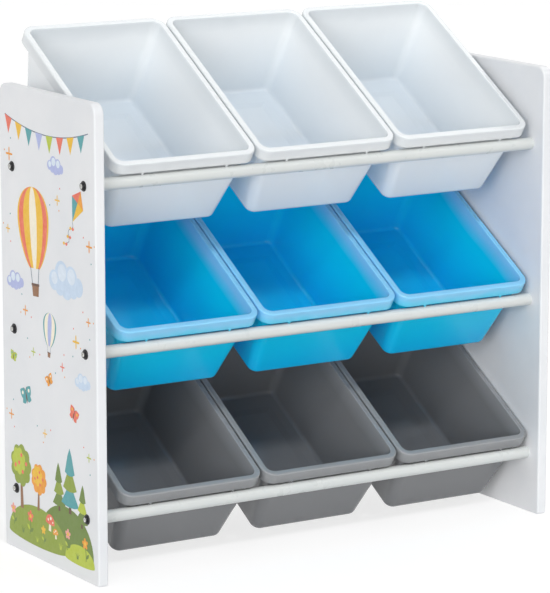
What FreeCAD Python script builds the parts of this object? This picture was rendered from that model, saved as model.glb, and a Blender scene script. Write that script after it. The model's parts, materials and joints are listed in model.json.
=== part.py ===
# Toy storage organizer: two upright boards joined by three tiers of steel tubes, with
# nine open plastic bins that lie loose and tilted on the tubes, three to a tier.
#
# Frame: origin on the floor below the middle of the whole object, X to the right along
# the tubes, Y towards the back, Z up. Lengths are in millimetres, angles in degrees.
#
# A bin is drawn in its own frame: its rim lies in the plane Z = 0 with the front edge on
# the line Y = 0, Y runs back along the rim and Z is square to it. It is then tilted and
# set down on its two tubes.

import FreeCAD, Part
import math
import os
import Sketcher
from FreeCAD import Placement, Rotation, Vector

# ---------------------------------------------------------------- sizes
SIZES = [
    # boards
    ("board_height", 600, "floor to the top edge of a side board"),
    ("board_depth", 248, "front edge to back edge of a side board"),
    ("board_thickness", 14, "side board"),
    ("board_top_radius", 15, "top corners of the board's outline"),
    ("board_foot_radius", 4, "bottom corners of the board's outline"),
    ("board_arris", 2.5, "rounding of the board's long edges"),
    ("clear_width", 654, "between the two boards"),
    ("setback", -22.7, "middle of the boards, measured from the origin along Y"),
    # tubes and their fastening
    ("tube_diameter", 16, "outside"),
    ("tube_wall", 1, "tube"),
    ("front_margin", 28, "front edge of the board to the front tubes' axes"),
    ("tube_spacing", 186.5, "front tube axis to back tube axis"),
    ("first_tier", 81, "floor to the lowest tubes' axes"),
    ("tier_pitch", 208, "from one tier of tubes to the next"),
    ("plug_length", 20, "threaded insert in each tube end"),
    ("plug_clearance", 0.05, "insert to the tube's bore, radial"),
    ("bolt_diameter", 5, "shank of the furniture bolt"),
    ("bolt_reach", 14, "length of the shank inside the insert"),
    ("thread_clearance", 0.05, "shank to the insert's thread, radial"),
    ("hole_clearance", 0.5, "shank to the hole in the board, radial"),
    ("head_diameter", 8.5, "bolt head"),
    ("head_height", 2.4, "bolt head"),
    ("head_round", 0.8, "edge of the bolt head"),
    ("socket_width", 4, "hexagon socket, across its flats"),
    ("socket_depth", 1.6, "hexagon socket"),
    ("washer_diameter", 13, "cup washer"),
    ("washer_height", 1.4, "cup washer"),
    ("washer_slope", 0.7, "bevel of the cup washer's edge"),
    # bins
    ("bin_gap", 2.5, "between neighbouring bins"),
    ("side_play", 32.5, "what three bins and their gaps leave free between the boards"),
    ("right_gap", 2, "right-hand bin of the lowest tier to the board"),
    ("gap_step", 3.8, "how much further left the bins of each higher tier stand"),
    ("rim_length", 284, "front edge to back edge of the rim"),
    ("rim_radius", 18, "corners of the rim"),
    ("rim_ledge", 7.8, "rim's outer edge to the opening"),
    ("rim_plate", 2.4, "thickness of the ledge"),
    ("rim_round", 1.8, "upper outer edge of the rim"),
    ("lip_round", 1, "edge of the opening"),
    ("skirt_height", 15, "top of the rim to the skirt's lower edge"),
    ("skirt_wall", 2, "skirt"),
    ("pip_length", 3.5, "feet under the front skirt, below its lower edge"),
    ("pip_width", 4, "feet under the front skirt"),
    ("pip_spacing", 120, "between the two feet"),
    ("bin_depth", 114.5, "top of the rim to the underside of the floor"),
    ("bin_wall", 2.3, "walls and floor"),
    ("side_draft", 8.8, "lean of the side walls, in degrees"),
    ("front_draft", 4.2, "lean of the front wall, in degrees"),
    ("back_draft", 10.1, "lean of the back wall, in degrees"),
    ("corner_radius", 13, "upright corners of the walls, outside"),
    ("foot_round", 8, "bend from the walls into the floor, outside"),
    ("panel_side", 31, "foot of a side wall to the flat top of the floor's raised panel"),
    ("panel_end", 40, "foot of the front or back wall to the top of the raised panel"),
    ("panel_slope", 12, "width of the raised panel's sloping sides"),
    ("panel_rise", 1.5, "height of the raised panel"),
    ("rest_gap", 0.3, "between a bin and a tube that it lies on or against"),
]
ALIASES = {alias for alias, _, _ in SIZES}
NEAR = 1e-4

doc = FreeCAD.newDocument("toy_storage_organizer")
sheet = doc.addObject("Spreadsheet::Sheet", "dims")
for row, (alias, number, meaning) in enumerate(SIZES, start=1):
    sheet.set("A%d" % row, alias)
    sheet.set("B%d" % row, str(number))
    sheet.set("C%d" % row, meaning)
    sheet.setAlias("B%d" % row, alias)
doc.recompute()


def size(alias):
    """The number in the sheet under this alias."""
    return float(sheet.get(alias))


def formula(words):
    """A formula over the sheet: every alias in it becomes a reference to its cell."""
    return " ".join("dims." + word if word in ALIASES else word for word in words.split())


def number(words):
    """What such a formula comes to."""
    result = sheet.evalExpression(formula(words))
    return float(getattr(result, "Value", result))


# ---------------------------------------------------------------- drawing helpers
def origin_part(body, role):
    for feature in body.Origin.OriginFeatures:
        if feature.Role == role:
            return feature
    raise ValueError(role)


def new_body(label):
    body = doc.addObject("PartDesign::Body", label)
    body.Label = label
    return body


def new_sketch(body, name, role, lift=None):
    """An empty sketch on an origin plane, or lifted from it along its normal."""
    sketch = body.newObject("Sketcher::SketchObject", name)
    sketch.AttachmentSupport = (origin_part(body, role), [""])
    sketch.MapMode = "FlatFace"
    if lift:
        sketch.setExpression("AttachmentOffset.Base.z", formula(lift))
    return sketch


def bind(sketch, kind, refs, words):
    """Add one dimension and tie it to a formula over the sheet."""
    index = sketch.addConstraint(Sketcher.Constraint(kind, *refs, number(words)))
    name = "size_%d" % index
    sketch.renameConstraint(index, name)
    sketch.setExpression("Constraints." + name, formula(words))


def rounded_outline(sketch, width, low, high, radius):
    """Rounded rectangle about the sketch's vertical axis, from height low to height high."""
    half, corner = number(width) / 2, number(radius)
    bottom, top = number(low), number(high)
    x, y_low, y_high = half - corner, bottom + corner, top - corner
    first = sketch.GeometryCount
    for start, end in (
        ((-x, bottom), (x, bottom)),
        ((half, y_low), (half, y_high)),
        ((x, top), (-x, top)),
        ((-half, y_high), (-half, y_low)),
    ):
        sketch.addGeometry(Part.LineSegment(Vector(*start, 0), Vector(*end, 0)))
    for centre, turn in (((x, y_low), -90), ((x, y_high), 0), ((-x, y_high), 90), ((-x, y_low), 180)):
        circle = Part.Circle(Vector(*centre, 0), Vector(0, 0, 1), corner)
        arc = Part.ArcOfCircle(circle, math.radians(turn), math.radians(turn + 90))
        sketch.addGeometry(arc)
    lines, arcs = range(first, first + 4), range(first + 4, first + 8)
    start, end = 1, 2
    for side in range(4):
        after = lines[(side + 1) % 4]
        sketch.addConstraint(Sketcher.Constraint("Tangent", lines[side], end, arcs[side], start))
        sketch.addConstraint(Sketcher.Constraint("Tangent", arcs[side], end, after, start))
    for side, direction in ((1, "Vertical"), (2, "Horizontal"), (3, "Vertical")):
        sketch.addConstraint(Sketcher.Constraint(direction, lines[side]))
    for arc in arcs[1:]:
        sketch.addConstraint(Sketcher.Constraint("Equal", arcs[0], arc))
    sketch.addConstraint(Sketcher.Constraint("Symmetric", lines[0], start, lines[0], end, -2))
    bind(sketch, "Radius", (arcs[0],), radius)
    bind(sketch, "DistanceX", (lines[3], end, lines[1], start), width)
    bind(sketch, "DistanceY", (-1, 1, lines[0], start), low)
    bind(sketch, "DistanceY", (-1, 1, lines[2], start), high)


def polygon(sketch, corners):
    """Closed run of lines whose corners are pairs of formulas, fixed one by one."""
    places = [Vector(number(across), number(up), 0) for across, up in corners]
    count = len(places)
    for index, place in enumerate(places):
        sketch.addGeometry(Part.LineSegment(place, places[(index + 1) % count]))
    for index in range(count):
        sketch.addConstraint(Sketcher.Constraint("Coincident", index, 2, (index + 1) % count, 1))
    for index, (across, up) in enumerate(corners):
        for kind, axis, words in (("DistanceX", -2, across), ("DistanceY", -1, up)):
            if abs(number(words)) < NEAR:
                sketch.addConstraint(Sketcher.Constraint("PointOnObject", index, 1, axis))
            else:
                bind(sketch, kind, (-1, 1, index, 1), words)


def rectangle(sketch, width, low, high):
    """Square-cornered rectangle about the sketch's vertical axis."""
    half = "( " + width + " ) / 2"
    polygon(sketch, [("- " + half, low), (half, low), (half, high), ("- " + half, high)])


def circles(sketch, diameters, across="0", up="0"):
    """Concentric circles at one place."""
    centre = Vector(number(across), number(up), 0)
    for words in diameters:
        circle = Part.Circle(centre, Vector(0, 0, 1), number(words) / 2)
        index = sketch.addGeometry(circle)
        bind(sketch, "Diameter", (index,), words)
        if abs(centre.x) < NEAR and abs(centre.y) < NEAR:
            sketch.addConstraint(Sketcher.Constraint("Coincident", index, 3, -1, 1))
        else:
            bind(sketch, "DistanceX", (-1, 1, index, 3), across)
            bind(sketch, "DistanceY", (-1, 1, index, 3), up)


def pad(body, name, sketch, length, reverse=False):
    feature = body.newObject("PartDesign::Pad", name)
    feature.Profile = sketch
    feature.setExpression("Length", formula(length))
    feature.Reversed = reverse
    doc.recompute()
    return feature


def pocket(body, name, sketch, depth=None):
    """Cut along the sketch's normal, to a depth or right through."""
    before = body.Shape.Volume
    feature = body.newObject("PartDesign::Pocket", name)
    feature.Profile = sketch
    feature.Reversed = True
    if depth:
        feature.setExpression("Length", formula(depth))
    else:
        feature.Type = "ThroughAll"
    doc.recompute()
    check_cut(name, before, body.Shape.Volume)
    return feature


def check_cut(name, before, after):
    if not after < before - NEAR:
        raise RuntimeError("%s removed nothing" % name)


def fillet(body, name, radius, wanted):
    """Round every edge of the body so far whose bounding box passes the test."""
    base = body.Tip
    names = [
        "Edge%d" % index
        for index, edge in enumerate(base.Shape.Edges, start=1)
        if wanted(edge.BoundBox)
    ]
    if not names:
        raise RuntimeError("%s found no edge" % name)
    feature = body.newObject("PartDesign::Fillet", name)
    feature.Base = (base, names)
    feature.setExpression("Radius", formula(radius))
    doc.recompute()
    return feature


def faces_of(body, name, wanted):
    names = [
        "Face%d" % index
        for index, face in enumerate(body.Shape.Faces, start=1)
        if wanted(face.BoundBox)
    ]
    if not names:
        raise RuntimeError("%s found no face" % name)
    return body.Tip, names


def draft(body, name, angle, wanted):
    """Lean walls inwards as they go down from the rim's plane."""
    before = body.Shape.Volume
    base = faces_of(body, name, wanted)
    feature = body.newObject("PartDesign::Draft", name)
    feature.Base = base
    feature.NeutralPlane = (origin_part(body, "XY_Plane"), [""])
    feature.Reversed = True
    feature.setExpression("Angle", formula(angle))
    doc.recompute()
    check_cut(name, before, body.Shape.Volume)
    return feature


def hollow(body, name, wall, opened):
    """Leave a wall of even thickness, open at the faces that pass the test."""
    before = body.Shape.Volume
    base = faces_of(body, name, opened)
    feature = body.newObject("PartDesign::Thickness", name)
    feature.Base = base
    feature.Reversed = True
    feature.setExpression("Value", formula(wall))
    doc.recompute()
    check_cut(name, before, body.Shape.Volume)
    return feature


def at(value, *ends):
    """True where every given coordinate lies at this value."""
    return all(abs(end - value) < NEAR for end in ends)


def grid(body, name, originals):
    """Repeat features, or the whole body, over the two rows and three tiers of tubes."""
    feature = body.newObject("PartDesign::LinearPattern", name)
    if originals:
        feature.Originals = originals
    else:
        feature.TransformMode = "Whole shape"
    feature.Mode, feature.Mode2 = "Spacing", "Extent"
    feature.Direction = (origin_part(body, "Z_Axis"), [""])
    feature.Direction2 = (origin_part(body, "Y_Axis"), [""])
    feature.Occurrences, feature.Occurrences2 = len(TIERS), 2
    feature.setExpression("Offset", formula("tier_pitch"))
    feature.setExpression("Length2", formula("tube_spacing"))
    body.Tip = feature
    doc.recompute()
    return feature


# ---------------------------------------------------------------- places
TIERS = ("bottom", "middle", "top")
COLUMNS = ("left", "centre", "right")
LAST_COLUMN = len(COLUMNS) - 1

OUTER_FACE = "clear_width / 2 + board_thickness"
FRONT_AXIS = "front_margin - board_depth / 2"
HEAD_FACE = "washer_height + head_height"
RIM_WIDTH = "( ( clear_width - side_play - 2 * bin_gap ) / 3 )"
WALL_INSET = "( rim_ledge - bin_wall )"
FLOOR_TOP = "( bin_wall - bin_depth )"


def tube_place(depth_row, tier):
    """Axis of a tube where it leaves the left board; depth_row 0 is the front."""
    return Vector(
        -size("clear_width") / 2,
        size("setback") + number(FRONT_AXIS) + depth_row * size("tube_spacing"),
        size("first_tier") + tier * size("tier_pitch"),
    )


def bin_place(column, tier):
    """Set a bin down: its feet on the front tube, its front wall behind that tube, and
    its floor on the back tube, both tubes being level."""
    radius_and_gap = size("tube_diameter") / 2 + size("rest_gap")
    feet = size("skirt_height") + size("pip_length")
    tilt = math.asin((size("bin_depth") - feet) / size("tube_spacing"))
    tube_drop = feet + radius_and_gap
    draft_angle = math.radians(size("front_draft"))
    wall_there = number(WALL_INSET) + tube_drop * math.tan(draft_angle)
    tube_back = wall_there - radius_and_gap / math.cos(draft_angle)
    turn = Rotation(Vector(1, 0, 0), math.degrees(tilt))
    place = tube_place(0, tier) - turn.multVec(Vector(0, tube_back, -tube_drop))
    right_edge = size("clear_width") / 2 - size("right_gap") - tier * size("gap_step")
    pitch = number(RIM_WIDTH) + size("bin_gap")
    place.x = right_edge - number(RIM_WIDTH) / 2 - (LAST_COLUMN - column) * pitch
    return Placement(place, turn)


# ---------------------------------------------------------------- pieces
def make_board(label, x):
    """Side board with rounded corners, softened edges and six bolt holes."""
    body = new_body(label)
    outline = new_sketch(body, label + "_outline", "YZ_Plane")
    polygon(outline, [
        ("- board_depth / 2", "0"),
        ("board_depth / 2", "0"),
        ("board_depth / 2", "board_height"),
        ("- board_depth / 2", "board_height"),
    ])
    pad(body, label + "_blank", outline, "board_thickness")
    thick, high = size("board_thickness"), size("board_height")
    fillet(body, label + "_top_corners", "board_top_radius",
           lambda box: at(high, box.ZMin) and at(thick, box.XLength))
    fillet(body, label + "_foot_corners", "board_foot_radius",
           lambda box: at(0, box.ZMax) and at(thick, box.XLength))
    fillet(body, label + "_arrises", "board_arris", lambda box: at(0, box.XLength))
    spots = new_sketch(body, label + "_hole_spot", "YZ_Plane")
    circles(spots, ["bolt_diameter + 2 * hole_clearance"], FRONT_AXIS, "first_tier")
    hole = pocket(body, label + "_hole", spots)
    before = body.Shape.Volume
    grid(body, label + "_holes", [hole])
    check_cut(label + "_holes", before, body.Shape.Volume)
    body.Placement = Placement(Vector(x, size("setback"), 0), Rotation())
    return body


def make_tube(label, place):
    body = new_body(label)
    section = new_sketch(body, label + "_section", "YZ_Plane")
    circles(section, ["tube_diameter", "tube_diameter - 2 * tube_wall"])
    pad(body, label + "_run", section, "clear_width")
    body.Placement = Placement(place, Rotation())
    return body


def seat_fasteners(body, side):
    """Fasteners are drawn along X from the board's outer face inwards, at the first hole."""
    depth_row, turn = {"left": (0, 0), "right": (1, 180)}[side]
    place = tube_place(depth_row, 0)
    place.x = number(OUTER_FACE) * (-1 if side == "left" else 1)
    body.Placement = Placement(place, Rotation(Vector(0, 0, 1), turn))


def make_bolts(side):
    """Six furniture bolts: round head with a hexagon socket, plain shank into the insert."""
    label = side + "_bolts"
    body = new_body(label)
    section = new_sketch(body, label + "_section", "XY_Plane")
    shank_end = "board_thickness + bolt_reach"
    polygon(section, [
        ("- ( washer_height + head_height )", "0"),
        (shank_end, "0"),
        (shank_end, "bolt_diameter / 2"),
        ("- washer_height", "bolt_diameter / 2"),
        ("- washer_height", "head_diameter / 2"),
        ("- ( washer_height + head_height )", "head_diameter / 2"),
    ])
    turned = body.newObject("PartDesign::Revolution", label + "_turned")
    turned.Profile = section
    turned.ReferenceAxis = (section, ["H_Axis"])
    doc.recompute()
    face, radius = -number(HEAD_FACE), size("head_diameter") / 2
    fillet(body, label + "_head_edge", "head_round",
           lambda box: at(face, box.XMin, box.XMax) and at(radius, box.ZMax))
    hexagon = new_sketch(body, label + "_hexagon", "YZ_Plane", "- ( washer_height + head_height )")
    point, half_point = "socket_width / sqrt( 3 )", "socket_width / sqrt( 3 ) / 2"
    flat = "socket_width / 2"
    polygon(hexagon, [
        (point, "0"),
        (half_point, flat),
        ("- " + half_point, flat),
        ("- " + point, "0"),
        ("- " + half_point, "- " + flat),
        (half_point, "- " + flat),
    ])
    pocket(body, label + "_socket", hexagon, "socket_depth")
    grid(body, label + "_all", None)
    seat_fasteners(body, side)
    return body


def make_washers(side):
    """Six bevelled cup washers between the bolt heads and the board."""
    label = side + "_washers"
    body = new_body(label)
    section = new_sketch(body, label + "_section", "XY_Plane")
    bore, rim = "bolt_diameter / 2 + thread_clearance", "washer_diameter / 2"
    polygon(section, [
        ("0", bore),
        ("0", rim),
        ("washer_slope - washer_height", rim),
        ("- washer_height", rim + " - washer_slope"),
        ("- washer_height", bore),
    ])
    turned = body.newObject("PartDesign::Revolution", label + "_turned")
    turned.Profile = section
    turned.ReferenceAxis = (section, ["H_Axis"])
    doc.recompute()
    grid(body, label + "_all", None)
    seat_fasteners(body, side)
    return body


def make_plugs(side):
    """Six threaded inserts, one in each tube end at this board."""
    label = side + "_tube_plugs"
    body = new_body(label)
    section = new_sketch(body, label + "_section", "YZ_Plane", "board_thickness")
    circles(section, [
        "tube_diameter - 2 * ( tube_wall + plug_clearance )",
        "bolt_diameter + 2 * thread_clearance",
    ])
    pad(body, label + "_run", section, "plug_length")
    grid(body, label + "_all", None)
    seat_fasteners(body, side)
    return body


def make_bin(label, placement):
    """Open bin with drafted walls, a bent-over rim with a skirt, and two small feet."""
    body = new_body(label)
    underside, floor_top = -size("bin_depth"), number(FLOOR_TOP)

    neck = new_sketch(body, label + "_neck", "XY_Plane")
    rectangle(neck, RIM_WIDTH + " - 2 * " + WALL_INSET, WALL_INSET, "rim_length - " + WALL_INSET)
    pad(body, label + "_tub", neck, "bin_depth", reverse=True)
    side, front = number(RIM_WIDTH) / 2 - number(WALL_INSET), number(WALL_INSET)
    back = size("rim_length") - number(WALL_INSET)
    draft(body, label + "_sides", "side_draft",
          lambda box: at(side, box.XMin) or at(-side, box.XMax))
    draft(body, label + "_front", "front_draft", lambda box: at(front, box.YMin) and box.YLength < front)
    draft(body, label + "_back", "back_draft", lambda box: at(back, box.YMax) and box.YLength < front)
    fillet(body, label + "_corners", "corner_radius",
           lambda box: at(0, box.ZMax) and at(underside, box.ZMin))
    fillet(body, label + "_foot_bend", "foot_round", lambda box: at(underside, box.ZMin, box.ZMax))
    hollow(body, label + "_hollow", "bin_wall", lambda box: at(0, box.ZMin, box.ZMax))

    rim = new_sketch(body, label + "_rim_outline", "XY_Plane")
    rounded_outline(rim, RIM_WIDTH, "0", "rim_length", "rim_radius")
    seam = "( rim_ledge - bin_wall / 2 )"
    rounded_outline(rim, RIM_WIDTH + " - 2 * " + seam, seam, "rim_length - " + seam,
                    "corner_radius - bin_wall / 2")
    pad(body, label + "_rim", rim, "rim_plate", reverse=True)

    skirt = new_sketch(body, label + "_skirt_section", "XY_Plane")
    rounded_outline(skirt, RIM_WIDTH, "0", "rim_length", "rim_radius")
    rounded_outline(skirt, RIM_WIDTH + " - 2 * skirt_wall", "skirt_wall", "rim_length - skirt_wall",
                    "rim_radius - skirt_wall")
    pad(body, label + "_skirt", skirt, "skirt_height", reverse=True)

    half, long = number(RIM_WIDTH) / 2, size("rim_length")
    fillet(body, label + "_rim_edge", "rim_round",
           lambda box: at(0, box.ZMin, box.ZMax)
           and (at(half, box.XMax) or at(-half, box.XMin) or at(0, box.YMin) or at(long, box.YMax)))
    mouth_half = half - size("rim_ledge")
    fillet(body, label + "_lip", "lip_round",
           lambda box: at(0, box.ZMin, box.ZMax) and abs(box.Center.x) <= mouth_half
           and size("rim_ledge") - NEAR <= box.YMin and box.YMax <= long - size("rim_ledge") + NEAR)

    add_floor_panel(body, label)
    add_feet(body, label)
    body.Placement = placement
    return body


def add_floor_panel(body, label):
    """Raised panel in the floor with sloping sides, hollow underneath, which stiffens it."""
    side_foot = WALL_INSET + " + bin_depth * tan( side_draft ) + panel_side"
    front_foot = WALL_INSET + " + bin_depth * tan( front_draft ) + panel_end"
    back_foot = WALL_INSET + " + bin_depth * tan( back_draft ) + panel_end"

    def outline(name, height, spread):
        sketch = new_sketch(body, label + name, "XY_Plane", height)
        rectangle(sketch, "%s - 2 * ( %s - %s )" % (RIM_WIDTH, side_foot, spread),
                  "%s - %s" % (front_foot, spread), "rim_length - ( %s - %s )" % (back_foot, spread))
        return sketch

    for kind, name, level in (
        ("AdditiveLoft", "_panel", FLOOR_TOP),
        ("SubtractiveLoft", "_panel_hollow", "- bin_depth"),
    ):
        before = body.Shape.Volume
        foot = outline(name + "_foot", level, "panel_slope")
        loft = body.newObject("PartDesign::" + kind, label + name)
        loft.Profile = foot
        loft.Sections = [outline(name + "_top", level + " + panel_rise", "0")]
        loft.Ruled = True
        doc.recompute()
        if abs(body.Shape.Volume - before) < NEAR:
            raise RuntimeError("%s changed nothing" % loft.Label)


def add_feet(body, label):
    """Two small feet under the front skirt, which ride on the front tube."""
    feet = new_sketch(body, label + "_feet_outline", "XZ_Plane")
    inner, outer = "( pip_spacing - pip_width ) / 2", "( pip_spacing + pip_width ) / 2"
    taper = "pip_width / 4"
    top, tip = "rim_plate - skirt_height", "- skirt_height - pip_length"
    polygon(feet, [
        (inner, top),
        (inner, "- skirt_height"),
        (inner + " + " + taper, tip),
        (outer + " - " + taper, tip),
        (outer, "- skirt_height"),
        (outer, top),
    ])
    foot = pad(body, label + "_foot_right", feet, "skirt_wall", reverse=True)
    pair = body.newObject("PartDesign::Mirrored", label + "_feet")
    pair.Originals = [foot]
    pair.MirrorPlane = (origin_part(body, "YZ_Plane"), [""])
    body.Tip = pair
    doc.recompute()


# ---------------------------------------------------------------- the organizer
outer_face = number(OUTER_FACE)
pieces = [
    make_board("left_board", -outer_face),
    make_board("right_board", outer_face - size("board_thickness")),
]
for tier, tier_name in enumerate(TIERS):
    for depth_row, row_name in enumerate(("front", "back")):
        label = "%s_tube_%s" % (row_name, tier_name)
        pieces.append(make_tube(label, tube_place(depth_row, tier)))
for side in ("left", "right"):
    pieces += [make_plugs(side), make_bolts(side), make_washers(side)]
for tier, tier_name in enumerate(TIERS):
    for column, column_name in enumerate(COLUMNS):
        label = "bin_%s_%s" % (tier_name, column_name)
        pieces.append(make_bin(label, bin_place(column, tier)))
doc.recompute()

# ---------------------------------------------------------------- check and write
for item in doc.Objects:
    if "Invalid" in item.State or "Error" in item.State:
        raise RuntimeError("%s failed: %s" % (item.Name, item.State))
for piece in pieces:
    if piece.Shape.isNull() or not piece.Shape.isValid():
        raise RuntimeError("%s has no valid shape" % piece.Label)

os.makedirs("parts", exist_ok=True)
for piece in pieces:
    piece.Shape.exportStep("parts/%s.step" % piece.Label)
    print(piece.Label, len(piece.Shape.Solids), "solids", round(piece.Shape.Volume), "mm3")
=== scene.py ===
# Looks of the toy storage organizer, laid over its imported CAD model. Lengths are in metres,
# apart from the print's, which are in millimetres.

import json
import math

import bpy
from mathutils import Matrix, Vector
from mathutils.geometry import delaunay_2d_cdt


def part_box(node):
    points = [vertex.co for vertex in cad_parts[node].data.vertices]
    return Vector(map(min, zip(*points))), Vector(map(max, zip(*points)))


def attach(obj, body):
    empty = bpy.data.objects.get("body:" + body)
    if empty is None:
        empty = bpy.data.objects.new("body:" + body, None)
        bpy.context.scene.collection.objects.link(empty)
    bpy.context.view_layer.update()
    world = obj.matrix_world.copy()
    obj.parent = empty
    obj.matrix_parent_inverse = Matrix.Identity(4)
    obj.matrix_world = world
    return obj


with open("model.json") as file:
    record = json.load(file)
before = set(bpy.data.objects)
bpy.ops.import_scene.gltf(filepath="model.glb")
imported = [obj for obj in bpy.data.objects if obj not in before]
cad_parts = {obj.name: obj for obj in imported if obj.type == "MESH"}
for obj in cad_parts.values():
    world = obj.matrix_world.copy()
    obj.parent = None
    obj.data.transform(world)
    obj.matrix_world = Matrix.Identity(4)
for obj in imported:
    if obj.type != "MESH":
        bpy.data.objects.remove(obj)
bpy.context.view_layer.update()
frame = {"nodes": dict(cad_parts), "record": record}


# ---------------------------------------------------------------- helpers
def rgb(red, green, blue):
    """Screen colour, 0 to 255, as linear light."""
    def linear(part):
        part /= 255
        return part / 12.92 if part <= 0.04045 else ((part + 0.055) / 1.055) ** 2.4
    return linear(red), linear(green), linear(blue), 1.0


def new_object(name, data):
    """A new object in the scene, made of a mesh, a lamp or a lens."""
    made = bpy.data.objects.new(name, data)
    bpy.context.scene.collection.objects.link(made)
    return made


def aim(thing, ahead):
    """Turn a lamp or camera so that it looks along a direction, upright."""
    thing.rotation_euler = Vector(ahead).to_track_quat("-Z", "Y").to_euler()


class Nodes:
    """A shader tree built by calls. A socket given as a value is linked, any other is set."""

    def __init__(self, tree):
        self.tree = tree
        self.tree.nodes.clear()

    def node(self, kind, inputs=None, **settings):
        made = self.tree.nodes.new(kind)
        for name, value in settings.items():
            setattr(made, name, value)
        for name, value in (inputs or {}).items():
            if isinstance(value, bpy.types.NodeSocket):
                self.tree.links.new(value, made.inputs[name])
            else:
                made.inputs[name].default_value = value
        return made

    def spread(self, value, low, high, to_low=0.0, to_high=1.0):
        """The range from low to high, spread over another one and held at its ends."""
        inputs = {0: value, 1: low, 2: high, 3: to_low, 4: to_high}
        return self.node("ShaderNodeMapRange", inputs).outputs[0]

    def math(self, operation, first, second=0.0):
        return self.node("ShaderNodeMath", {0: first, 1: second}, operation=operation).outputs[0]

    def shown(self):
        """1 where the camera sees a surface, directly, mirrored or through glass, else 0."""
        path = self.node("ShaderNodeLightPath").outputs
        mirrored = self.math("MAXIMUM", path["Is Glossy Ray"], path["Is Transmission Ray"])
        return self.math("MAXIMUM", path["Is Camera Ray"], mirrored)


class Finish(Nodes):
    """A material. Its patterns lie in the part's own coordinates, so they move with it."""

    def __init__(self, name):
        self.material = bpy.data.materials.new(name)
        self.material.use_nodes = True
        super().__init__(self.material.node_tree)
        self.place = self.node("ShaderNodeTexCoord").outputs["Object"]

    def stretched(self, x, y, z, turn=0.0):
        """The part's coordinates for a pattern that is stretched, then turned about X."""
        inputs = {"Vector": self.place, "Rotation": (turn, 0, 0), "Scale": (x, y, z)}
        return self.node("ShaderNodeMapping", inputs, vector_type="TEXTURE").outputs[0]

    def noise(self, scale, detail=2.0, rough=0.5, place=None):
        """Cloudy pattern from 0 to 1, whose patches are about 1 / scale metres wide."""
        inputs = {"Vector": place or self.place, "Scale": scale, "Detail": detail, "Roughness": rough}
        return self.node("ShaderNodeTexNoise", inputs).outputs[0]

    def mix(self, factor, first, second):
        """A colour between two others. Sockets 6 and 7 are the node's colour inputs."""
        inputs = {0: factor, 6: first, 7: second}
        return self.node("ShaderNodeMix", inputs, data_type="RGBA").outputs[2]

    def bump(self, height, distance, before=None):
        """Relief as high as distance, on top of the relief before it."""
        inputs = {"Height": height, "Distance": distance, "Strength": 1.0}
        if before:
            inputs["Normal"] = before
        return self.node("ShaderNodeBump", inputs).outputs[0]

    def close(self, surface):
        """End the tree with this shader."""
        self.node("ShaderNodeOutputMaterial", {"Surface": surface})
        return self.material

    def shade(self, **inputs):
        """The usual shader, whose sockets are named with underscores for spaces."""
        named = {name.replace("_", " "): value for name, value in inputs.items()}
        return self.close(self.node("ShaderNodeBsdfPrincipled", named).outputs[0])


# ---------------------------------------------------------------- finishes
# The bins' tilt, and the direction from a bin's rim to its floor.
TILT = math.radians(30.98)
DOWN_THE_BIN = Vector((0.0, math.sin(TILT), -math.cos(TILT)))
# Depths below the rim, between which one tone of a bin passes into the next: from the rim's painted light
# to the wall's own tone, then to the floor's painted shade.
RIM_TO_WALL = (0.004, 0.022)
WALL_TO_FLOOR = (0.030, 0.112)
# The bolts: width of the head, radius of its bare middle, and where its coat starts.
HEAD_WIDTH = 0.0085
BARE_RADIUS = 0.0027
COAT_RADIUS = 0.0031


def lacquer(name):
    """Sprayed satin lacquer: faint orange peel over slow waves, with a little mottling."""
    finish = Finish(name)
    mottle = finish.spread(finish.noise(9.0, 4.0, 0.6), 0.35, 0.65)
    colour = finish.mix(mottle, rgb(225, 227, 230), rgb(231, 232, 234))
    peel = finish.bump(finish.noise(420.0, 2.0), 0.00004)
    waves = finish.bump(finish.noise(38.0, 1.0), 0.0002, peel)
    rough = finish.spread(finish.noise(60.0, 3.0), 0.3, 0.7, 0.30, 0.40)
    return finish.shade(Base_Color=colour, Roughness=rough, Normal=waves)


def printed_ink(name):
    """Ink printed on the lacquer, which keeps its peel and shows through a little unevenly."""
    finish = Finish(name)
    ink = finish.node("ShaderNodeVertexColor", layer_name="ink").outputs[0]
    thick = finish.node("ShaderNodeHueSaturation", {"Color": ink, "Saturation": 1.08, "Value": 0.93})
    cover = finish.spread(finish.noise(160.0, 5.0, 0.65), 0.35, 0.65)
    colour = finish.mix(cover, ink, thick.outputs[0])
    peel = finish.bump(finish.noise(420.0, 2.0), 0.00004)
    rough = finish.spread(finish.noise(60.0, 3.0), 0.3, 0.7, 0.32, 0.44)
    return finish.shade(Base_Color=colour, Roughness=rough, Normal=peel)


def powder_coat(name):
    """Smooth powder coat on steel tube, with the faintest grain."""
    finish = Finish(name)
    mottle = finish.spread(finish.noise(30.0, 3.0), 0.3, 0.7)
    colour = finish.mix(mottle, rgb(208, 212, 211), rgb(212, 215, 213))
    grain = finish.bump(finish.noise(1300.0, 2.0), 0.000001)
    rough = finish.spread(finish.noise(60.0, 2.0), 0.3, 0.7, 0.27, 0.30)
    return finish.shade(Base_Color=colour, Roughness=rough, Normal=grain)


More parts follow.
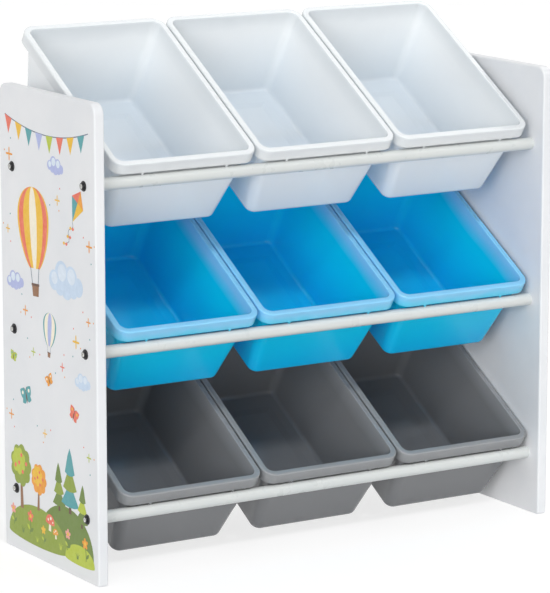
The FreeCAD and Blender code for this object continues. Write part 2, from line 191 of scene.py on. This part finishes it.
def moulded(name, example, rim_painted_light, wall, floor):
    """Glossy moulded plastic, whose tone passes from that of the rim to the wall's and the
    floor's, with flow marks along the bin, a fine tool grain and faint sink waves. The rim's
    tone is painted light and the floor's is painted shade deep in the bin. All bins of
    a tier have their rims in one plane, which is found on the bin given as an example."""
    finish = Finish(name)
    rim_level = min(DOWN_THE_BIN.dot(corner.co) for corner in frame["nodes"][example].data.vertices)
    plane = finish.node("ShaderNodeVectorMath", {0: finish.place, 1: DOWN_THE_BIN}, operation="DOT_PRODUCT")
    below_rim = finish.math("SUBTRACT", plane.outputs["Value"], rim_level)
    along = finish.stretched(1.0, 4.5, 1.0, TILT)
    flow = finish.spread(finish.noise(16.0, 3.0, 0.55, along), 0.3, 0.7, -0.004, 0.004)
    below_rim = finish.math("ADD", below_rim, flow)
    # Painted light by depth: the rim's tone stands in for the light on the rim, the floor's for the shade
    # deep in the bin.
    colour = finish.mix(finish.spread(below_rim, *RIM_TO_WALL), rim_painted_light, wall)
    colour = finish.mix(finish.spread(below_rim, *WALL_TO_FLOOR), colour, floor)
    grain = finish.bump(finish.noise(1500.0, 2.0), 0.000006)
    sink = finish.bump(finish.noise(20.0, 1.0, 0.5, along), 0.00022, grain)
    rough = finish.spread(finish.noise(45.0, 4.0, 0.6), 0.3, 0.7, 0.13, 0.2)
    return finish.shade(
        Base_Color=colour, Roughness=rough, Normal=sink,
        Subsurface_Weight=0.5, Subsurface_Radius=(1.0, 1.0, 1.0), Subsurface_Scale=0.008,
    )


def nylon(name, light, deep):
    """Matt black or dark grey nylon with a tool grain."""
    finish = Finish(name)
    colour = finish.mix(finish.spread(finish.noise(240.0, 3.0), 0.3, 0.7), light, deep)
    grain = finish.bump(finish.noise(1800.0, 2.0), 0.00002)
    rough = finish.spread(finish.noise(500.0, 2.0), 0.3, 0.7, 0.42, 0.56)
    return finish.shade(Base_Color=colour, Roughness=rough, Normal=grain)


def from_bolt_axis(finish):
    """Distance from the axis of the nearest bolt. The two columns and three rows of bolts are
    folded onto the first one: each coordinate is wrapped at the spacing of the bolts."""
    low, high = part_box("left_bolts")
    split = finish.node("ShaderNodeSeparateXYZ", {0: finish.place}).outputs
    squares = []
    for axis, index, gaps in (("Y", 1, 1), ("Z", 2, 2)):
        first = low[index] + HEAD_WIDTH / 2
        apart = (high[index] - low[index] - HEAD_WIDTH) / gaps
        inputs = {0: split[axis], 1: first + apart / 2, 2: first - apart / 2}
        wrapped = finish.node("ShaderNodeMath", inputs, operation="WRAP").outputs[0]
        squares.append(finish.math("POWER", finish.math("SUBTRACT", wrapped, first), 2.0))
    return finish.math("SQRT", finish.math("ADD", *squares))


def bolt_finish(name):
    """Black-coated bolt head, bare zinc-plated in the middle, with fine turning marks."""
    finish = Finish(name)
    coated = finish.spread(from_bolt_axis(finish), BARE_RADIUS, COAT_RADIUS)
    patches = finish.spread(finish.noise(700.0, 3.0, 0.6), 0.35, 0.65)
    zinc = finish.mix(patches, rgb(208, 209, 208), rgb(236, 235, 230))
    black = finish.mix(patches, rgb(24, 24, 26), rgb(34, 34, 36))
    colour = finish.mix(coated, zinc, black)
    metal = finish.spread(coated, 0.0, 1.0, 1.0, 0.0)
    rough = finish.spread(patches, 0.0, 1.0, 0.28, 0.42)
    marks = finish.bump(finish.noise(2600.0, 1.0, 0.5, finish.stretched(1.0, 1.0, 0.1)), 0.00001)
    return finish.shade(Base_Color=colour, Metallic=metal, Roughness=rough, Normal=marks)


FINISHES = {
    "board_lacquer": lacquer("board_lacquer"),
    "tube_coating": powder_coat("tube_coating"),
    "plug_plastic": nylon("plug_plastic", rgb(52, 52, 54), rgb(38, 38, 40)),
    "bolt_steel": bolt_finish("bolt_steel"),
    "washer_plastic": nylon("washer_plastic", rgb(34, 34, 36), rgb(20, 20, 22)),
    # The rim tones are painted light: a painted sheen, lighter, on blue and grey, and toned down on white
    # against the lamps' glare. The floor tones are painted shade.
    "bin_white": moulded(
        "bin_white", "bin_top_left",
        rim_painted_light=rgb(227, 232, 235), wall=rgb(239, 243, 245), floor=rgb(214, 223, 231),
    ),
    "bin_blue": moulded(
        "bin_blue", "bin_middle_left",
        rim_painted_light=rgb(134, 204, 255), wall=rgb(10, 207, 250), floor=rgb(18, 185, 248),
    ),
    "bin_grey": moulded(
        "bin_grey", "bin_bottom_left",
        rim_painted_light=rgb(146, 148, 150), wall=rgb(127, 128, 130), floor=rgb(116, 118, 121),
    ),
}
for part in frame["record"]["subparts"]:
    mesh = frame["nodes"][part["node"]].data
    mesh.materials.clear()
    mesh.materials.append(FINISHES[part["material_slot"]])


# ---------------------------------------------------------------- drawing on a board
INKS = {
    "leaf": rgb(142, 160, 58), "moss": rgb(108, 132, 54), "lime": rgb(186, 200, 72),
    "sun": rgb(240, 192, 66), "amber": rgb(238, 160, 60), "coral": rgb(234, 120, 98),
    "blush": rgb(240, 166, 156), "teal": rgb(84, 160, 165), "sky": rgb(204, 221, 240),
    "mist": rgb(222, 233, 245), "lilac": rgb(180, 188, 228), "bark": rgb(146, 104, 72),
    "cocoa": rgb(98, 66, 48), "slate": rgb(96, 108, 130), "cream": rgb(248, 240, 220),
}


class Sheet:
    """Printed shapes on a board's outer face, in millimetres: u from its rear edge towards the
    front, v up from the floor. A shape covers those before it, and all end in one flat skin."""

    # How far the skin stands off the board, in metres.
    LIFT = 0.0001
    PER_METRE = 1000
    # What the triangulation keeps, and how close two of its points may lie.
    INSIDE_OUTLINES = 1
    MERGE_WITHIN = 0.0001

    def __init__(self, board):
        low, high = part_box(board)
        self.face = low[0] - self.LIFT
        self.rear = high[1]
        self.points, self.shapes, self.inks = [], [], []

    def add(self, outline, ink):
        """One shape, whose outline runs counter-clockwise as seen from outside."""
        first = len(self.points)
        self.points += [Vector(point) for point in outline]
        self.shapes.append(list(range(first, len(self.points))))
        self.inks.append(INKS[ink])

    def stamp(self, motif, u, v, size, turn, **options):
        """A motif, drawn about its own foot or middle at size 1, put at (u, v) and turned."""
        across = size * math.cos(math.radians(turn))
        up = size * math.sin(math.radians(turn))

        def draw(outline, ink):
            self.add([(u + a * across - b * up, v + a * up + b * across) for a, b in outline], ink)

        motif(draw, **options)

    def piece(self, name, material):
        """The skin: triangles cut along every outline, each in the ink of its topmost shape."""
        corners, _, triangles, _, _, sources = delaunay_2d_cdt(
            self.points, [], self.shapes, self.INSIDE_OUTLINES, self.MERGE_WITHIN,
        )
        printed = [(face, self.inks[max(shapes)]) for face, shapes in zip(triangles, sources) if shapes]
        places = [(self.face, self.rear - u / self.PER_METRE, v / self.PER_METRE) for u, v in corners]
        mesh = bpy.data.meshes.new(name)
        mesh.from_pydata(places, [], [face for face, ink in printed])
        colours = mesh.color_attributes.new("ink", "FLOAT_COLOR", "CORNER")
        for face, (_, ink) in zip(mesh.polygons, printed):
            for corner in face.loop_indices:
                colours.data[corner].color = ink
        mesh.materials.append(material)
        return new_object(name, mesh)


def rosette(u, v, radius, lobes=1, depth=0.0, power=1.0, turn=0.0):
    """Closed curve with round or pointed lobes: a disc, blossom, tree crown or sparkle."""
    points_per_lobe, fewest = 12, 24
    count = max(fewest, points_per_lobe * lobes)
    outline = []
    for step in range(count):
        angle = math.tau * step / count
        lobe = abs(math.cos(lobes * angle / 2)) ** power
        reach = radius * (1 - depth + depth * lobe)
        spun = angle + math.radians(turn)
        outline.append((u + reach * math.cos(spun), v + reach * math.sin(spun)))
    return outline


def leaf(u, v, length, width, turn):
    """Pointed oval that grows from (u, v) in the direction of turn, in degrees."""
    steps = 12
    spine = [step / steps for step in range(steps + 1)]
    edge = [(length * along, width / 2 * math.sin(math.pi * along)) for along in spine]
    outline = [(a, -b) for a, b in edge] + edge[-2:0:-1]
    cos, sin = math.cos(math.radians(turn)), math.sin(math.radians(turn))
    return [(u + a * cos - b * sin, v + a * sin + b * cos) for a, b in outline]


def stroke(path, width, end=1.0):
    """Band along a path, end times as wide where it ends."""
    last = len(path) - 1
    right, left = [], []
    for index, (u, v) in enumerate(path):
        (u0, v0), (u1, v1) = path[max(index - 1, 0)], path[min(index + 1, last)]
        half = width / 2 * (1 + (end - 1) * index / last) / math.hypot(u1 - u0, v1 - v0)
        across, up = half * (v0 - v1), half * (u1 - u0)
        right.append((u - across, v - up))
        left.append((u + across, v + up))
    return right + left[::-1]


def mound(u, v, half_width, height, dip):
    """Hill or mushroom cap: a broad arch whose foot sags by dip."""
    steps = 20
    arch = [math.pi * step / steps for step in range(steps + 1)]
    top = [(u + half_width * math.cos(a), v + height * math.sin(a) ** 0.9) for a in arch]
    foot = [(u - half_width * math.cos(a), v - dip * math.sin(a)) for a in arch[1:-1]]
    return top + foot


# ---------------------------------------------------------------- motifs, each drawn at size 1
def round_tree(draw, crown, light, fruit):
    draw([(-0.05, 0), (0.05, 0), (0.03, 0.5), (-0.03, 0.5)], "bark")
    draw(rosette(0, 0.68, 0.34, lobes=9, depth=0.13), crown)
    draw(rosette(-0.07, 0.74, 0.22, lobes=7, depth=0.16, turn=20), light)
    for u, v in ((-0.18, 0.66), (0.02, 0.84), (0.17, 0.72), (0.05, 0.58), (-0.06, 0.71)):
        draw(rosette(u, v, 0.035), fruit)


def fir(draw, deep, light):
    draw([(-0.04, 0), (0.04, 0), (0.03, 0.3), (-0.03, 0.3)], "cocoa")
    for tier, ink in enumerate((deep, light, deep)):
        foot, half = 0.14 + 0.24 * tier, 0.27 - 0.06 * tier
        skirt = [(-half, foot), (-half / 2, foot - 0.035), (0, foot - 0.045), (half / 2, foot - 0.035)]
        draw(skirt + [(half, foot), (0.06, foot + 0.27), (0, foot + 0.38), (-0.06, foot + 0.27)], ink)


def mushroom(draw, cap):
    draw([(-0.15, 0), (0.15, 0), (0.1, 0.5), (-0.1, 0.5)], "cream")
    draw(mound(0, 0.45, half_width=0.5, height=0.5, dip=0.08), cap)
    for u, v, radius in ((-0.22, 0.62, 0.08), (0.06, 0.74, 0.1), (0.3, 0.56, 0.06)):
        draw(rosette(u, v, radius), "cream")


def flower(draw, petals):
    draw(stroke([(0, 0), (0.04, 0.3), (0.02, 0.6), (0, 0.8)], 0.06), "moss")
    draw(leaf(0.02, 0.12, 0.36, 0.16, turn=38), "moss")
    draw(leaf(0.02, 0.2, 0.34, 0.15, turn=146), "lime")
    draw(rosette(0, 0.8, 0.27, lobes=5, depth=0.45, turn=18), petals)
    draw(rosette(0, 0.8, 0.09), "sun")


def tuft(draw, blade):
    for lean in (-0.5, -0.18, 0.2, 0.55):
        draw(stroke([(lean * 0.2, 0), (lean * 0.5, 0.5), (lean, 1 - abs(lean) / 2)], 0.17, end=0.1), blade)


def butterfly(draw, wing, spot):
    for side in (-1, 1):
        draw(leaf(0, 0, 0.62, 0.46, turn=90 - side * 50), wing)
        draw(leaf(0, 0, 0.44, 0.34, turn=90 - side * 116), wing)
        draw(rosette(side * 0.28, 0.23, 0.08), spot)
        draw(stroke([(0, 0.24), (side * 0.06, 0.36), (side * 0.15, 0.42)], 0.025), "cocoa")
    draw(leaf(0, -0.3, 0.58, 0.1, turn=90), "cocoa")


def cloud(draw, ink):
    upper = ((-0.66, -0.06, 0.28), (-0.24, 0.14, 0.38), (0.28, 0.10, 0.35))
    lower = ((0.68, -0.07, 0.26), (-0.34, -0.16, 0.28), (0.04, -0.16, 0.34), (0.40, -0.15, 0.27))
    for u, v, radius in upper + lower:
        draw(rosette(u, v, radius), ink)
    for u, v, radius in upper:
        draw(rosette(u + 0.02, v + 0.06, radius * 0.62), "mist")


def balloon(draw, stripes):
    """Hot-air balloon, whose gores look narrower towards its sides. Its profile runs from
    the top to the mouth, which is short of half a turn."""
    steps, mouth = 18, 0.86
    profile = []
    for step in range(steps + 1):
        angle = math.pi * mouth * step / steps
        fall = 0.5 if angle < math.pi / 2 else 0.68
        profile.append((0.5 * math.sin(angle) * math.cos(angle / 4) ** 1.5, fall * math.cos(angle)))
    for gore, ink in enumerate(stripes):
        near, far = (math.sin(math.pi * ((gore + side) / len(stripes) - 0.5)) for side in (0, 1))
        draw([(near * a, b) for a, b in profile] + [(far * a, b) for a, b in profile[::-1]], ink)
    for side in (-1, 1):
        draw(stroke([(side * 0.12, -0.6), (side * 0.08, -0.84)], 0.014), "slate")
    draw([(-0.08, -1), (0.08, -1), (0.1, -0.84), (-0.1, -0.84)], "bark")
    draw(stroke([(-0.11, -0.84), (0.11, -0.84)], 0.035), "cocoa")


def kite(draw, quarters):
    """Kite in four colours, with bows on its tail."""
    middle = (0, 0.1)
    corners = ((0, 0.5), (-0.36, 0.1), (0, -0.55), (0.36, 0.1))
    for index, ink in enumerate(quarters):
        draw([middle, corners[index], corners[(index + 1) % 4]], ink)
    tail = [(0.09 * math.sin(1.3 * step), -0.55 - 0.1 * step) for step in range(9)]
    draw(stroke(tail, 0.02), "slate")
    for u, v in tail[2::3]:
        draw(leaf(u, v, 0.14, 0.1, turn=25), "coral")
        draw(leaf(u, v, 0.14, 0.1, turn=205), "sun")


def bunting(draw, inks, sag):
    """A line one long that hangs by sag, with a pennant of each ink in turn."""
    flags, gap = 8, 3
    steps = flags * gap
    line = [(step / steps - 0.5, -sag * (1 - (2 * step / steps - 1) ** 2)) for step in range(steps + 1)]
    draw(stroke(line, 0.006), "slate")
    for flag in range(flags):
        (u0, v0), (u1, v1) = line[gap * flag], line[gap * flag + 2]
        draw([(u0, v0), ((u0 + u1) / 2, (v0 + v1) / 2 - 0.1), (u1, v1)], inks[flag % len(inks)])


# ---------------------------------------------------------------- print on the left board
# Hills: ink, u, v, half the width, height, dip.
MEADOW = (
    ("moss", 166, 27, 70, 58, 5),
    ("leaf", 90, 24, 78, 44, 8),
    ("lime", 200, 21, 38, 22, 4),
)
# What is on and above them: motif, u, v, size, turn in degrees, the motif's inks.
MOTIFS = (
    (cloud, 172, 372, 46, 0, {"ink": "sky"}),
    (cloud, 38, 352, 24, 4, {"ink": "lilac"}),
    (cloud, 148, 512, 22, -4, {"ink": "lilac"}),
    (cloud, 212, 252, 21, 2, {"ink": "sky"}),
    (fir, 148, 76, 62, 2, {"deep": "moss", "light": "leaf"}),
    (fir, 176, 78, 84, 0, {"deep": "teal", "light": "leaf"}),
    (fir, 206, 66, 56, -3, {"deep": "moss", "light": "lime"}),
    (round_tree, 48, 58, 82, 2, {"crown": "leaf", "light": "lime", "fruit": "coral"}),
    (round_tree, 92, 64, 60, -3, {"crown": "amber", "light": "sun", "fruit": "coral"}),
    (mushroom, 122, 44, 23, -4, {"cap": "coral"}),
    (mushroom, 138, 37, 14, 8, {"cap": "amber"}),
    (flower, 26, 32, 26, 6, {"petals": "blush"}),
    (flower, 68, 28, 30, -5, {"petals": "coral"}),
    (flower, 106, 24, 22, 4, {"petals": "sun"}),
    (flower, 168, 30, 26, -4, {"petals": "blush"}),
    (flower, 216, 26, 28, 6, {"petals": "amber"}),
    (tuft, 50, 26, 11, 0, {"blade": "moss"}),
    (tuft, 88, 22, 9, 0, {"blade": "lime"}),
    (tuft, 150, 26, 11, 0, {"blade": "lime"}),
    (tuft, 194, 24, 10, 0, {"blade": "moss"}),
    (butterfly, 64, 206, 30, 18, {"wing": "teal", "spot": "cream"}),
    (butterfly, 188, 206, 24, -24, {"wing": "coral", "spot": "sun"}),
    (butterfly, 126, 238, 20, 30, {"wing": "amber", "spot": "cream"}),
    (butterfly, 30, 252, 18, -12, {"wing": "lime", "spot": "teal"}),
    (balloon, 88, 432, 92, 3, {"stripes": ("sun", "coral", "sun", "cream", "sun", "coral", "sun")}),
    (balloon, 128, 306, 38, -4, {"stripes": ("teal", "cream", "lilac", "cream", "teal")}),
    (kite, 202, 470, 44, -28, {"quarters": ("coral", "teal", "sun", "amber")}),
    (bunting, 124, 562, 216, 0, {"inks": ("coral", "sun", "teal", "lilac", "lime"), "sag": 0.07}),
)
# Sparkles in the sky: ink, u, v, radius. Each has dots of three inks around it.
SPARKLES = (
    ("amber", 26, 512, 9), ("sun", 152, 470, 7), ("amber", 232, 424, 8), ("sun", 20, 416, 6),
    ("amber", 64, 318, 7), ("sun", 196, 300, 9), ("lime", 84, 268, 6), ("amber", 228, 330, 6),
    ("coral", 160, 262, 6), ("sun", 112, 168, 6), ("amber", 22, 176, 7), ("lime", 226, 160, 6),
)
DOT_INKS = ("amber", "coral", "teal")
DOT_RADIUS = 1.1
DOT_NEAREST = 9
DOT_FURTHER = 4
DOT_TURN = 137


def draw_sparkle(sheet, ink, u, v, radius):
    """Four-pointed sparkle with small dots, each further out and turned on from the last. They
    start at an angle taken from u, so that sparkles differ."""
    sheet.add(rosette(u, v, radius, lobes=4, depth=0.78, power=5.0, turn=90), ink)
    for step, dot_ink in enumerate(DOT_INKS, start=1):
        bearing = math.radians(DOT_TURN * step + u)
        away = DOT_NEAREST + DOT_FURTHER * step
        dot = rosette(u + away * math.cos(bearing), v + away * math.sin(bearing), DOT_RADIUS)
        sheet.add(dot, dot_ink)


def left_board_print(name):
    """A meadow under an open sky with balloons, a kite and a line of pennants."""
    sheet = Sheet("left_board")
    for ink, *hill in MEADOW:
        sheet.add(mound(*hill), ink)
    for motif, u, v, size, turn, options in MOTIFS:
        sheet.stamp(motif, u, v, size, turn, **options)
    for sparkle in SPARKLES:
        draw_sparkle(sheet, *sparkle)
    return sheet.piece(name, printed_ink("printed_ink"))


board_print = left_board_print("left_board_print")
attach(board_print, "rack")


# ---------------------------------------------------------------- stage and light
WHITE = (1, 1, 1, 1)
FLOOR_REACH = 20.0
# The floor is seen white where it is lit: it glows this much and is this grey under the
# lamps, so that only the grey's share is lost in the object's shadow.
FLOOR_GLOW = 0.74
FLOOR_GREY = rgb(160, 160, 160)


def floor_finish(name):
    """Pale matt floor, made to look nearly white where it is seen or mirrored."""
    finish = Finish(name)
    tone = finish.spread(finish.noise(3.0, 3.0), 0.3, 0.7)
    pale = finish.mix(tone, rgb(247, 247, 247), rgb(250, 250, 250))
    bounce = finish.node("ShaderNodeBsdfDiffuse", {"Color": pale}).outputs[0]
    lit = finish.node("ShaderNodeBsdfDiffuse", {"Color": FLOOR_GREY}).outputs[0]
    glow = finish.node("ShaderNodeEmission", {"Color": WHITE, "Strength": FLOOR_GLOW}).outputs[0]
    seen = finish.node("ShaderNodeAddShader", {0: lit, 1: glow}).outputs[0]
    both = finish.node("ShaderNodeMixShader", {0: finish.shown(), 1: bounce, 2: seen}).outputs[0]
    return finish.close(both)


def stage_floor(name):
    mesh = bpy.data.meshes.new(name)
    sides = ((-1, -1), (1, -1), (1, 1), (-1, 1))
    mesh.from_pydata([(FLOOR_REACH * x, FLOOR_REACH * y, 0) for x, y in sides], [], [(0, 1, 2, 3)])
    mesh.materials.append(floor_finish(name))
    floor = new_object(name, mesh)


def studio_world(name, fill):
    """Even white surroundings: plain white where seen or mirrored, weaker as light."""
    world = bpy.data.worlds.new(name)
    world.use_nodes = True
    bpy.context.scene.world = world
    nodes = Nodes(world.node_tree)
    strength = nodes.spread(nodes.shown(), 0.0, 1.0, fill, 1.0)
    light = nodes.node("ShaderNodeBackground", {"Color": WHITE, "Strength": strength})
    nodes.node("ShaderNodeOutputWorld", {"Surface": light.outputs[0]})


def soft_box(name, stand, target, width, height, watts):
    """Square lamp that stands at one point and is aimed at another."""
    lamp = bpy.data.lights.new(name, "AREA")
    lamp.shape = "RECTANGLE"
    lamp.size = width
    lamp.size_y = height
    lamp.energy = watts
    holder = new_object(name, lamp)
    holder.location = stand
    aim(holder, Vector(target) - Vector(stand))


def far_light(name, source, spread, strength):
    """Light from far away in the direction source, which looks spread degrees wide."""
    lamp = bpy.data.lights.new(name, "SUN")
    lamp.energy = strength
    lamp.angle = math.radians(spread)
    aim(new_object(name, lamp), -Vector(source))


stage_floor("floor")
studio_world("studio", fill=0.45)
far_light("key", source=(-0.10, -0.69, 0.72), spread=6, strength=0.9)
far_light("side", source=(-0.76, -0.62, 0.16), spread=30, strength=1.4)
far_light("edge_glint", source=(0.52, -0.55, 0.67), spread=20, strength=0.2)
soft_box(
    "rim_glint", stand=(1.3, 0.55, 2.35), target=(0.0, 0.0, 0.35), width=1.7, height=1.4, watts=10,
)


# ---------------------------------------------------------------- camera
# Found by a fit to the photograph: a long lens, in front of the rack and to its left. The
# focal length and the sensor are in millimetres.
CAMERA_PLACE = (-2.27193, -3.64864, 1.14428)
YAW = math.radians(31.9755)
PITCH = math.radians(11.0319)
FOCAL_LENGTH = 204.19
SENSOR_WIDTH = 36.0
SIGHT = 60.0


def photo_camera(name):
    lens = bpy.data.cameras.new(name)
    lens.lens = FOCAL_LENGTH
    lens.sensor_width = SENSOR_WIDTH
    lens.clip_end = SIGHT
    camera = new_object(name, lens)
    camera.location = CAMERA_PLACE
    level = math.cos(PITCH)
    aim(camera, (math.sin(YAW) * level, math.cos(YAW) * level, -math.sin(PITCH)))
    bpy.context.scene.camera = camera


photo_camera("photo")
bpy.context.scene.view_settings.view_transform = "Standard"
